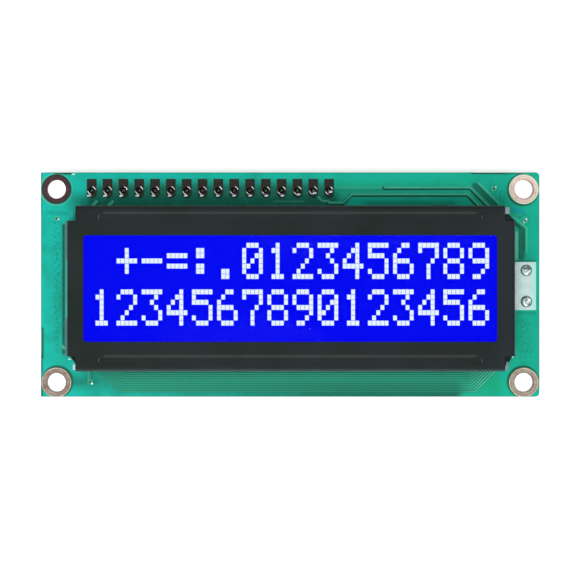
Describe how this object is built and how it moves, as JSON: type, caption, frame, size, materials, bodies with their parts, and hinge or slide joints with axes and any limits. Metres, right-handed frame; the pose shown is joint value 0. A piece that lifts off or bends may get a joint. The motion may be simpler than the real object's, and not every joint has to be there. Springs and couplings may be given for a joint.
{
  "type": "character lcd module",
  "caption": "Two-line dot-matrix character display on a green circuit board, with a black steel bezel, a blue lit window and a row of plated header holes.",
  "frame": {"origin": "under the middle of the circuit board, on the surface that the bezel's twisted tabs stand on", "axes": "+X along the board's length, +Y towards the row of header holes, +Z out through the display's window"},
  "size_m": [0.08, 0.036, 0.0114],
  "materials": {
    "solder_mask": "glossy green solder mask over glass fibre board",
    "masked_copper": "copper under green solder mask",
    "bare_ring": "tinned copper, warm and slightly dull",
    "dark_ring": "tinned copper that reflects a dark room",
    "header_land": "tinned copper that reflects a dark room",
    "solder": "bright solder",
    "contact_gold": "gold-plated contact lands",
    "black_steel": "thin black paint, semi-matt",
    "clear_glass": "clear polished glass",
    "polarizing_film": "smooth film with a light blue tint",
    "rear_film": "smooth dark blue film",
    "seal_resin": "hard epoxy resin",
    "display_blue": "evenly lit blue",
    "display_white": "evenly lit pale blue-white",
    "elastomer": "grey silicone rubber with dark layers",
    "white_board": "pale grey-white solder mask",
    "white_frame": "white moulded plastic",
    "diffuser": "milky acrylic",
    "led_package": "white package with yellow phosphor",
    "tinned_wire": "tinned wire",
    "covering_resin": "black epoxy, slightly shiny",
    "silicon": "polished silicon",
    "resistor_body": "black glazed ceramic",
    "capacitor_body": "brown ceramic"
  },
  "bodies": {
    "root": {"circuit_board": "solder_mask", "mounting_ring_upper_left": "dark_ring", "mounting_ring_upper_right": "bare_ring", "mounting_ring_lower_left": "bare_ring", "mounting_ring_lower_right": "bare_ring", "header_pads": "header_land", "header_solder_rims": "solder", "header_solder_drops": "solder", "vias": "masked_copper", "front_traces": "masked_copper", "front_copper_pour": "masked_copper", "back_traces": "masked_copper", "connector_contacts": "contact_gold", "bezel": "black_steel", "front_polarizer": "polarizing_film", "front_glass": "clear_glass", "cell_seal": "seal_resin", "fill_port_plug": "seal_resin", "liquid_crystal_layer": "display_blue", "lit_dots": "display_white", "rear_glass": "clear_glass", "rear_polarizer": "rear_film", "elastomer_connector_upper": "elastomer", "elastomer_connector_lower": "elastomer", "backlight_board": "white_board", "backlight_leds": "led_package", "reflector_frame": "white_frame", "diffuser_plate": "diffuser", "backlight_leads": "tinned_wire", "backlight_solder_front": "solder", "backlight_solder_back": "solder", "controller_die": "silicon", "driver_die": "silicon", "controller_cover": "covering_resin", "driver_cover": "covering_resin", "chip_resistors": "resistor_body", "resistor_end_caps": "solder", "chip_capacitors": "capacitor_body", "capacitor_end_caps": "solder"}
  },
  "joints": []
}
